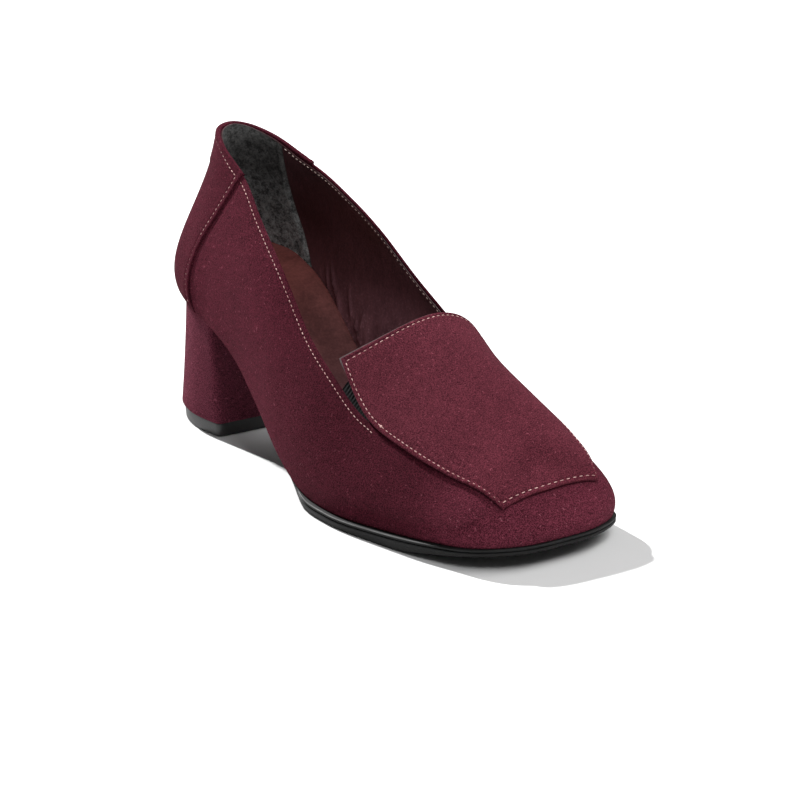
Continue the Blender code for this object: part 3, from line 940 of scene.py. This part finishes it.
def make_insole(leather):
    """Insole with its leather sock, padded under the heel, rounded at the edge and a little hollow."""

    def low(y):
        return profile_height(y) + GAP

    def high(y):
        return low(y) + smooth_table(INSOLE, y)[..., 0]

    places = HALF * (1 - np.cos(np.linspace(0, math.pi, 131))) / 2
    shares = (1 - np.cos(np.linspace(0, math.pi, 41))) / 2
    top = strip(places, partial(inside_wall, height=high), shares)
    foot = strip(places, partial(inside_wall, height=low), shares)
    width = np.linalg.norm(top[0] - top[-1], axis=-1)
    inside = np.minimum(shares, 1 - shares)[:, None] * width
    across = (4 * shares * (1 - shares))[:, None]
    hollow = INSOLE_HOLLOW * across * ease((INSOLE_HOLLOW_END - top[..., 1]) / INSOLE_HOLLOW_EASE)
    hollow = hollow * ease(width / INSOLE_HOLLOW_WIDTH)
    edge = INSOLE_EDGE * (1 - rounded(inside / INSOLE_ROUND))
    sock = join(top, high(top[..., 1]) - hollow - edge)
    base = join(foot, low(foot[..., 1]))
    bm = sheets(sock, base, *(np.stack([sock[rim], base[rim]]) for rim in (0, -1)))
    finish_piece("insole_sock", bm, leather, "insole")


def make_outsole(rubber):
    """Outsole with its ribbed edge, from the toe to the breast of the heel."""

    def bottom(y):
        return np.maximum(seat_height(y) - SOLE_SEAT - smooth_table(SOLE, y)[..., 0], 0)

    def edge(u, inset):
        ledge = smooth_table(LEDGE, rib_at(u)[0][..., 0, 1])[..., 0]
        return feather(u, SUEDE_OUT + ledge - inset)

    def cap(row, height):
        plan = strip(np.linspace(0, HALF, 181), partial(edge, inset=row.inset), np.linspace(0, 1, 25))
        return join(plan, height(plan[..., 1]))

    u = round_the_last(360)
    rim, tread, inset = np.array(SOLE_EDGE).T[:, :, None]
    plan = edge(u + 0 * inset, inset + 0 * u)
    y = plan[..., 1]
    under_rim = seat_height(y) - rim * SOLE_RIM
    side = join(plan, under_rim + tread * (bottom(y) - under_rim))
    bm = sheets(side, cap(SOLE_EDGE[0], seat_height), cap(SOLE_EDGE[-1], bottom))
    bmesh.ops.remove_doubles(bm, verts=bm.verts[:], dist=WELD)
    cut = bmesh.ops.bisect_plane(
        bm,
        geom=bm.verts[:] + bm.edges[:] + bm.faces[:],
        dist=WELD / 10,
        plane_co=(0, (SOLE_END + SHIFT[1]) * MM, 0),
        plane_no=(0, 1, 0),
        clear_inner=True,
    )["geom_cut"]
    end = [made for made in cut if isinstance(made, bmesh.types.BMEdge)]
    bmesh.ops.contextual_create(bm, geom=end)
    finish_piece("outsole_rubber", bm, rubber, "outsole", crease=35)


def heel_edge(u, share, inset):
    """Plan of the heel block's side at a place u and a share of its height down from the seat."""
    back, corner, lean = np.moveaxis(smooth_table(HEEL, share), -1, 0)
    reach = np.abs(HALF - u) / (HALF - SEAT_PLACE)
    plan = feather(u, back + reach**2 * (corner - back) - HEEL_SEAT_INSET - inset)
    plan[..., 1] += (lean - inset) * reach**2
    return plan


def heel_loop(share, inset, corner):
    """Closed plan round the heel block at its rows' shares and insets, its front corners rounded."""
    share = share[:, None]
    inset = inset[:, None]
    u = np.linspace(SEAT_PLACE + corner, 2 * HALF - SEAT_PLACE - corner, 91)
    side = heel_edge(u + 0 * share, share + 0 * u, inset)
    ends = np.array([SEAT_PLACE, 2 * HALF - SEAT_PLACE])
    tip = heel_edge(ends + 0 * share, share + 0 * ends, inset)
    across = unit(tip[:, 1:] - tip[:, :1])
    breast_a = tip[:, :1] + corner * across
    breast_b = tip[:, 1:] - corner * across
    f = np.linspace(0, 1, 9)[None, :, None]

    def arc(start, middle, stop):
        return (1 - f) ** 2 * start + 2 * f * (1 - f) * middle + f * f * stop

    far = arc(side[:, -1:], tip[:, 1:], breast_b)
    front = breast_b + np.linspace(0, 1, 25)[None, :, None] * (breast_a - breast_b)
    near = arc(breast_a, tip[:, :1], side[:, :1])
    return np.concatenate([side, far[:, 1:], front[:, 1:], near[:, 1:]], axis=1)


def heel_block(rows, top, foot, corner):
    """Closed bmesh round the heel from rows of (height share, plan share, inset), top to foot."""
    height, share, inset = np.array(rows, float).T
    plan = heel_loop(share, inset, corner)
    y = plan[..., 1]
    bm = sheets(join(plan, top(y) + height[:, None] * (foot - top(y))))
    bmesh.ops.remove_doubles(bm, verts=bm.verts[:], dist=WELD)
    bmesh.ops.holes_fill(bm, edges=bm.edges[:], sides=0)
    return bm


def make_heel(suede):
    """Block heel covered with suede, its cover drawn round the lower edge."""
    rows = [(share, share, 0.0) for share in np.linspace(0, HEEL_WALL, 32)]
    for turn in np.linspace(0.2, 1, 5) * math.pi / 2:
        share = HEEL_WALL + (1 - HEEL_WALL) * math.sin(turn)
        rows.append((share, share, HEEL_EDGE * (1 - math.cos(turn))))
    bm = heel_block(rows, seat_height, TOP_PIECE_THICK + HEEL_GAP, HEEL_CORNER)
    finish_piece("heel_suede", bm, suede, "heel")


def make_top_piece(rubber):
    """Rubber top piece under the heel, its edges just broken."""
    rows = [
        (height, 1.0, TOP_PIECE_INSET + inset + TOP_PIECE_TAPER * height)
        for height, inset in TOP_PIECE_EDGE
    ]
    bm = heel_block(rows, lambda y: TOP_PIECE_THICK + 0 * y, 0.0, TOP_PIECE_CORNER)
    finish_piece("top_piece_rubber", bm, rubber, "top_piece")


def matrix_of(*columns):
    """Matrix of three axes and a place."""
    return Matrix([[column[i] for column in columns] for i in range(3)] + [[0, 0, 0, 1]])


def point_along(at, lengths, points):
    """Point of a line at a length along it."""
    return np.array([np.interp(at, lengths, points[:, axis]) for axis in range(3)])


def stitch_row(bm, path, normals, pitch, sunk=STITCH_SUNK):
    """Add stitches along a path of points, each a short bulge of thread lying on its surface."""
    lengths = np.linalg.norm(np.diff(path, axis=0), axis=-1)
    along = np.concatenate([[0], np.cumsum(lengths)])
    count = max(int(along[-1] / pitch), 1)
    half = STITCH_SHARE * pitch / 2
    wide = STITCH_RADIUS * MM
    for middle in (np.arange(count) + 0.5) * along[-1] / count:
        start, centre, stop = (point_along(middle + step, along, path) for step in (-half, 0, half))
        normal = unit(point_along(middle, along, normals))
        forward = unit(stop - start)
        aside = unit(np.cross(normal, forward))
        centre = (centre + SHIFT + normal * STITCH_RADIUS * (1 - 2 * sunk)) * MM
        matrix = matrix_of(aside * wide, np.cross(forward, aside) * wide, forward * (half * MM), centre)
        bmesh.ops.create_uvsphere(bm, u_segments=7, v_segments=5, radius=1, matrix=matrix)


def seam_on_wall(bm, u, v, out, sunk=STITCH_SUNK):
    """Stitches on the wall of the last, along the places u and shares v."""
    point, normal, _ = last_frame(u, v)
    out = np.asarray(out, float) + 0 * u
    facing = normal * np.sign(out.mean() - LINING_IN / 2)
    stitch_row(bm, point + out[:, None] * normal, facing, COLLAR_PITCH, sunk)


def make_collar_stitches(name, thread, piece, gap, drop, out, sunk=STITCH_SUNK):
    """Seams at a drop below the collar, from the throat on both sides to a gap before a back piece."""
    end = smooth_table(piece, 1.0)[0]
    throat, far_throat = (place_at_station(GORE_FRONT_Y, side) for side in (1, -1))
    bm = bmesh.new()
    for start, stop in ((throat, HALF - end - gap), (HALF + end + gap, far_throat)):
        u = np.linspace(start, stop, 200)
        seam_on_wall(bm, u, collar_share(u, drop), out, sunk)
    finish_piece(name, bm, thread)


def make_counter_stitches(thread):
    """Seam of the counter: along its band and up both of its front edges."""
    end = smooth_table(COUNTER, 1.0)[0] - COUNTER_SEAM_STOP
    u = HALF + np.linspace(-end, end, 200)
    band = COUNTER_BAND_RISE * bell(u - HALF, COUNTER_BAND_WIDE)
    bm = bmesh.new()
    seam_on_wall(bm, u, collar_share(u, COLLAR_SEAM), COUNTER_OUT - SEAM_BED + band)
    for side in (-1, 1):
        for row in COUNTER_SEAM:
            t = np.linspace(row.low, row.high, 80)
            u = HALF + side * (smooth_table(COUNTER, t)[..., 0] - COLLAR_SEAM)
            seam_on_wall(bm, u, t * rib_at(u)[1], COUNTER_OUT - SEAM_BED, row.sunk)
    finish_piece("counter_stitches", bm, thread)


def apron_seams(points, normals, inside):
    """Four seam lines of the apron, at the seam's distance from its edge, with their normals and pitch."""

    def nearest(distances):
        return int(np.argmin(np.abs(distances - APRON_SEAM)))

    middle_row, middle_column = (count // 2 for count in inside.shape)
    left = nearest(inside[middle_row, :middle_column])
    right = middle_column + nearest(inside[middle_row, middle_column:])
    rear = nearest(inside[:middle_row, middle_column])
    front = middle_row + nearest(inside[middle_row:, middle_column])
    picks = (
        (np.s_[rear:front + 1, left], APRON_PITCH),
        (np.s_[front, left:right + 1], APRON_FRONT_PITCH),
        (np.s_[rear:front + 1, right], APRON_PITCH),
        (np.s_[rear, left:right + 1], APRON_PITCH),
    )
    return [(points[pick], normals[pick], pitch) for pick, pitch in picks]


def make_apron_stitches(thread, lattice):
    """Seam round the apron, with a knot at its outer edge."""
    base, normal, inside = lattice
    seams = apron_seams(base + (APRON_LIFT + APRON_WALL - SEAM_BED) * normal, normal, inside)
    bm = bmesh.new()
    for path, facing, pitch in seams:
        stitch_row(bm, path, facing, pitch)
    outer_seam = seams[0][0]
    knot = outer_seam[np.argmin(np.abs(outer_seam[:, 1] - KNOT_STATION))]
    matrix = Matrix.Translation((knot + SHIFT) * MM)
    bmesh.ops.create_uvsphere(bm, u_segments=10, v_segments=7, radius=KNOT_RADIUS * MM, matrix=matrix)
    finish_piece("apron_stitches", bm, thread)


class Finish:
    """Material of a piece, with its shader. Its patterns read object coordinates."""

    def __init__(self, name, colour, roughness, specular=0.5, sheen=0.0):
        self.material = bpy.data.materials.new(name)
        self.material.use_nodes = True
        self.material.diffuse_color = (*colour, 1)
        self.tree = self.material.node_tree
        self.shader = self.tree.nodes["Principled BSDF"]
        self.place = self.node("TexCoord").outputs["Object"]
        self.feed("Base Color", (*colour, 1))
        self.feed("Roughness", roughness)
        self.feed("Specular IOR Level", specular)
        self.feed("Sheen Weight", sheen)
        self.feed("Sheen Roughness", 0.5)

    def put(self, socket, value):
        """Set a socket, or link it where the value is another socket."""
        if isinstance(value, bpy.types.NodeSocket):
            self.tree.links.new(value, socket)
        else:
            socket.default_value = value

    def feed(self, name, value):
        """Set or link a socket of the shader."""
        self.put(self.shader.inputs[name], value)

    def node(self, kind, inputs=()):
        """New node with its inputs, given as pairs of name and value."""
        made = self.tree.nodes.new("ShaderNode" + kind)
        for name, value in inputs:
            self.put(made.inputs[name], value)
        return made

    def noise(self, scale, detail=2.0, roughness=0.5, stretch=(1, 1, 1)):
        """Noise from 0 to 1 with features of about 1 / scale metres."""
        place = self.node("Mapping", (("Vector", self.place), ("Scale", stretch))).outputs["Vector"]
        inputs = (("Vector", place), ("Scale", scale), ("Detail", detail), ("Roughness", roughness))
        return self.node("TexNoise", inputs).outputs["Fac"]

    def spread(self, value, low, high, to_low=0, to_high=1):
        """A value from one range to another, clamped."""
        ends = (("From Min", low), ("From Max", high), ("To Min", to_low), ("To Max", to_high))
        return self.node("MapRange", (("Value", value), *ends)).outputs["Result"]

    def ramp(self, axis, low, high):
        """From 0 to 1 between two places of the tables along an axis, x, y or z."""
        along = self.node("SeparateXYZ", (("Vector", self.place),)).outputs[axis.upper()]
        shift = SHIFT["xyz".index(axis)]
        return self.spread(along, (low + shift) * MM, (high + shift) * MM)

    def mixed(self, factor, first, second, blend="MIX"):
        """Two colours mixed by a factor. A colour is a tuple or a socket."""
        made = self.node("Mix")
        made.data_type = "RGBA"
        made.blend_type = blend
        sockets = [s for s in made.inputs if s.enabled]
        for socket, value in zip(sockets, (factor, first, second)):
            self.put(socket, (*value, 1) if isinstance(value, tuple) else value)
        return next(s for s in made.outputs if s.enabled)

    def tinted(self, factor, colour, tint):
        """A colour multiplied by a tint where the factor is 1."""
        return self.mixed(factor, colour, self.mixed(1.0, colour, tint, "MULTIPLY"))

    def summed(self, *parts):
        """Weighted sum of values, given as pairs of socket and weight."""
        total = 0
        for value, weight in parts:
            made = self.node("Math")
            made.operation = "MULTIPLY_ADD"
            for socket, term in zip(made.inputs, (value, weight, total)):
                self.put(socket, term)
            total = made.outputs["Value"]
        return total

    def bump(self, height, depth, strength):
        """Relief of a depth in metres."""
        inputs = (("Strength", strength), ("Distance", depth), ("Height", height))
        self.feed("Normal", self.node("Bump", inputs).outputs["Normal"])


def suede_material(name, dark, light, toe=(1, 1, 1), rear=(1, 1, 1)):
    """Suede: short nap with brushed patches, fine grain and a soft sheen; its toe and rear tints paint
    light onto both ends.
    """
    suede = Finish(name, light, roughness=0.95, specular=0.03, sheen=0.05)
    suede.feed("Sheen Tint", (0.8, 0.2, 0.28, 1))
    patches = suede.spread(suede.noise(34, detail=3), 0.3, 0.7)
    brushed = suede.spread(suede.noise(260, detail=3, stretch=(1, 0.55, 1.6)), 0.3, 0.7)
    grain = suede.spread(suede.noise(2300, detail=1, roughness=0.6), 0.38, 0.62)
    flecks = suede.spread(suede.noise(900, detail=1), 0.68, 0.76, 0, 0.55)
    fleck_colour = tuple(min(1, 1.9 * part + 0.02) for part in light)
    tone = suede.summed((patches, 0.1), (brushed, 0.13), (grain, 0.77))
    colour = suede.mixed(flecks, suede.mixed(tone, dark, light), fleck_colour)
    # painted light: the suede lightened towards the toe and the rear
    colour = suede.tinted(suede.ramp("y", *TOE_LIGHT_SPAN), colour, toe)
    colour = suede.tinted(suede.ramp("y", *REAR_LIGHT_SPAN), colour, rear)
    suede.feed("Base Color", colour)
    suede.bump(suede.summed((grain, 0.7), (brushed, 0.3)), 0.0003, 0.8)
    return suede.material


def leather_material(name, dark, light, roughness, specular=0.5, tone_bands=()):
    """Smooth lining leather: fine pores, uneven patches and a satin surface, tinted in bands that paint
    light and glints onto the lining.
    """
    leather = Finish(name, light, roughness, specular)
    patches = leather.noise(45, detail=4)
    pores = leather.noise(900, detail=3, roughness=0.6)
    wrinkles = leather.noise(160, detail=4, stretch=(1, 2.2, 0.8))
    tone = leather.summed((patches, 0.45), (wrinkles, 0.25), (pores, 0.3))
    colour = leather.mixed(leather.spread(tone, 0.38, 0.62), dark, light)
    # bands of tint; on the lining they are painted light and painted glints
    for tone_band in tone_bands:
        toned = leather.mixed(1.0, colour, tone_band.tint, "MULTIPLY")
        # pale flecks on the pores; on the lining they are painted glints
        scuffs = leather.spread(pores, 0.58, 0.72, 0, tone_band.scuffs)
        toned = leather.tinted(scuffs, toned, FLECK_TINT)
        colour = leather.mixed(leather.ramp(*tone_band.span), colour, toned)
    leather.feed("Base Color", colour)
    leather.feed("Roughness", leather.spread(patches, 0.3, 0.7, roughness - 0.08, roughness + 0.12))
    leather.bump(leather.summed((pores, 0.35), (wrinkles, 0.65)), 0.0005, 0.45)
    return leather.material


def rubber_material(name, colour, roughness, specular):
    """Black moulded rubber with a fine matt grain and rubbed patches."""
    rubber = Finish(name, colour, roughness, specular)
    grain = rubber.noise(1800, detail=2)
    patches = rubber.noise(90, detail=4)
    lighter = tuple(2.2 * part for part in colour)
    rubber.feed("Base Color", rubber.mixed(rubber.spread(patches, 0.35, 0.75), colour, lighter))
    rubber.feed("Roughness", rubber.spread(patches, 0.3, 0.7, roughness - 0.06, roughness + 0.12))
    rubber.bump(grain, 0.0002, 0.3)
    return rubber.material


def nap_material(name):
    """Charcoal napped leather of the heel grip, mottled where the nap lies over, darkened by painted shade
    towards the collar.
    """
    nap = Finish(name, (0.02, 0.019, 0.019), roughness=0.9, specular=0.2, sheen=0.05)
    blotches = nap.noise(330, detail=5, roughness=0.7)
    grain = nap.noise(1200, detail=3, roughness=0.7)
    tone = nap.summed((blotches, 0.6), (grain, 0.4))
    colour = nap.mixed(nap.spread(tone, 0.42, 0.62), (0.066, 0.069, 0.069), (0.46, 0.49, 0.49))
    # painted shade: darker towards the collar
    colour = nap.tinted(nap.ramp("z", *GRIP_SHADE_SPAN), colour, (0.23, 0.215, 0.21))
    nap.feed("Base Color", colour)
    nap.bump(tone, 0.0006, 0.6)
    return nap.material


def elastic_material(name):
    """Black woven elastic."""
    elastic = Finish(name, (0.006, 0.006, 0.0065), roughness=0.85, specular=0.15)
    yarns = elastic.noise(1500, detail=2, stretch=(1, 1, 0.5))
    dark = (0.002, 0.002, 0.0022)
    light = (0.013, 0.013, 0.014)
    elastic.feed("Base Color", elastic.mixed(elastic.spread(yarns, 0.35, 0.7), dark, light))
    elastic.bump(yarns, 0.0003, 0.5)
    return elastic.material


def thread_material(name, dark, light):
    """Cotton thread, a little uneven in tone."""
    thread = Finish(name, light, roughness=0.7, sheen=0.2)
    tones = thread.noise(420, detail=2)
    ply = thread.noise(2600, detail=1)
    thread.feed("Base Color", thread.mixed(thread.spread(tones, 0.35, 0.65), dark, light))
    thread.bump(ply, 0.0002, 0.4)
    return thread.material


def make_floor():
    """Plain pale floor."""
    finish = Finish("floor", FLOOR_COLOUR, roughness=0.85, specular=0.1)
    bm = bmesh.new()
    under = Matrix.Translation((0, 0, -FLOOR_DROP))
    bmesh.ops.create_grid(bm, x_segments=1, y_segments=1, size=FLOOR_HALF, matrix=under)
    add_object("floor", new_mesh("floor", bm, finish.material))


def light_studio():
    """Dim surround, soft lights over the inner side and the toe, and a small strong one behind the heel."""
    world = bpy.data.worlds.new("studio")
    world.use_nodes = True
    background = world.node_tree.nodes["Background"]
    background.inputs["Color"].default_value = (1, 1, 1, 1)
    background.inputs["Strength"].default_value = SURROUND
    bpy.context.scene.world = world
    for light in LIGHTS:
        data = bpy.data.lights.new(light.name, "AREA")
        data.energy = light.power
        data.size = light.size
        made = add_object(light.name, data)
        made.location = light.place
        made.rotation_euler = (Vector(LIGHT_AIM) - Vector(light.place)).to_track_quat("-Z", "Y").to_euler()
    bpy.context.scene.view_settings.view_transform = "Standard"
    bpy.context.scene.view_settings.look = "None"


def make_camera():
    """Camera where the photograph was taken."""
    azimuth = math.radians(VIEW_AZIMUTH)
    elevation = math.radians(VIEW_ELEVATION)
    roll = math.radians(VIEW_ROLL)
    level_back = np.array([math.sin(azimuth), math.cos(azimuth), 0])
    back = level_back * math.cos(elevation) + (0, 0, math.sin(elevation))
    right = np.array([-math.cos(azimuth), math.sin(azimuth), 0])
    up = np.cross(right, -back)
    place = np.array(VIEW_AIM) + VIEW_OFFSET[0] * right + VIEW_OFFSET[1] * up + VIEW_DISTANCE * back
    data = bpy.data.cameras.new("camera")
    data.sensor_width = 36
    data.lens = VIEW_LENS
    data.clip_start = 0.05
    data.clip_end = 20
    camera = add_object("camera", data)
    camera.matrix_world = matrix_of(
        right * math.cos(roll) - up * math.sin(roll),
        right * math.sin(roll) + up * math.cos(roll),
        back,
        (place + SHIFT) * MM,
    )
    bpy.context.scene.camera = camera


def main():
    """Make the materials, the pieces of the shoe, the floor, the lights and the camera."""
    # Lit and shaded copies of one suede: the apron on top and the heel are painted lighter, and the
    # quarters, vamp and counter darker, standing in for how the light falls on them
    suede = suede_material(
        "burgundy_suede",
        (0.0125, 0.0016, 0.0034),
        (0.0785, 0.0118, 0.0218),
        toe=(2.3, 2.95, 2.65),
        rear=(1.4, 1.5, 1.46),
    )
    # painted light: lighter copy for the apron on top, lightened a little more towards the toe
    apron_suede = suede_material(
        "apron_suede", (0.0238, 0.004, 0.0076), (0.135, 0.0264, 0.0407), toe=(1.2, 1.2, 1.2)
    )
    # painted shade: darker copy for the counter
    counter_suede = suede_material("counter_suede", (0.0177, 0.0023, 0.0049), (0.081, 0.0119, 0.0224))
    # painted light: lighter copy for the heel
    back_suede = suede_material("back_suede", (0.034, 0.0067, 0.0122), (0.147, 0.0327, 0.0533))
    # the lining's bands paint light and glints onto it
    leather = leather_material(
        "dark_lining_leather", (0.035, 0.0115, 0.014), (0.076, 0.0248, 0.0292), 0.34, 0.6, LINING_PAINTED_LIGHT
    )
    sock = leather_material(
        "brown_sock_leather", (0.1, 0.0265, 0.0235), (0.215, 0.062, 0.054), 0.58, 0.25, SOCK_FRONT_TINT
    )
    cut_edge = leather_material("cut_lining_leather", (0.032, 0.011, 0.013), (0.066, 0.025, 0.028), 0.6)
    rubber = rubber_material("black_sole_rubber", (0.006, 0.006, 0.006), 0.55, 0.2)
    heel_rubber = rubber_material("black_heel_rubber", (0.012, 0.012, 0.012), 0.45, 0.5)
    elastic = elastic_material("black_elastic")
    thread = thread_material("cream_thread", (0.42, 0.2, 0.18), (0.74, 0.46, 0.42))
    lining_thread = thread_material("pale_thread", (0.7, 0.5, 0.44), (0.95, 0.76, 0.68))
    nap = nap_material("charcoal_nap")
    cover = cover_of_last(SUEDE_OUT)
    lattice = apron_lattice(cover)
    make_upper(suede)
    make_lining(leather)
    make_counter(counter_suede)
    make_grip(nap)
    make_gore("gore_outer_elastic", 1, elastic)
    make_gore("gore_inner_elastic", -1, elastic)
    make_apron(apron_suede, lattice)
    make_apron_lining(cut_edge, cover)
    make_insole(sock)
    make_outsole(rubber)
    make_heel(back_suede)
    make_top_piece(heel_rubber)
    make_collar_stitches(
        "collar_stitches", thread, COUNTER, gap=0.5, drop=COLLAR_SEAM, out=SUEDE_OUT - SEAM_BED
    )
    make_counter_stitches(thread)
    make_collar_stitches(
        "lining_stitches",
        lining_thread,
        GRIP,
        gap=1,
        drop=LINING_SEAM,
        out=LINING_IN + LINING_BED,
        sunk=LINING_SUNK,
    )
    make_apron_stitches(thread, lattice)
    make_floor()
    light_studio()
    make_camera()


main()
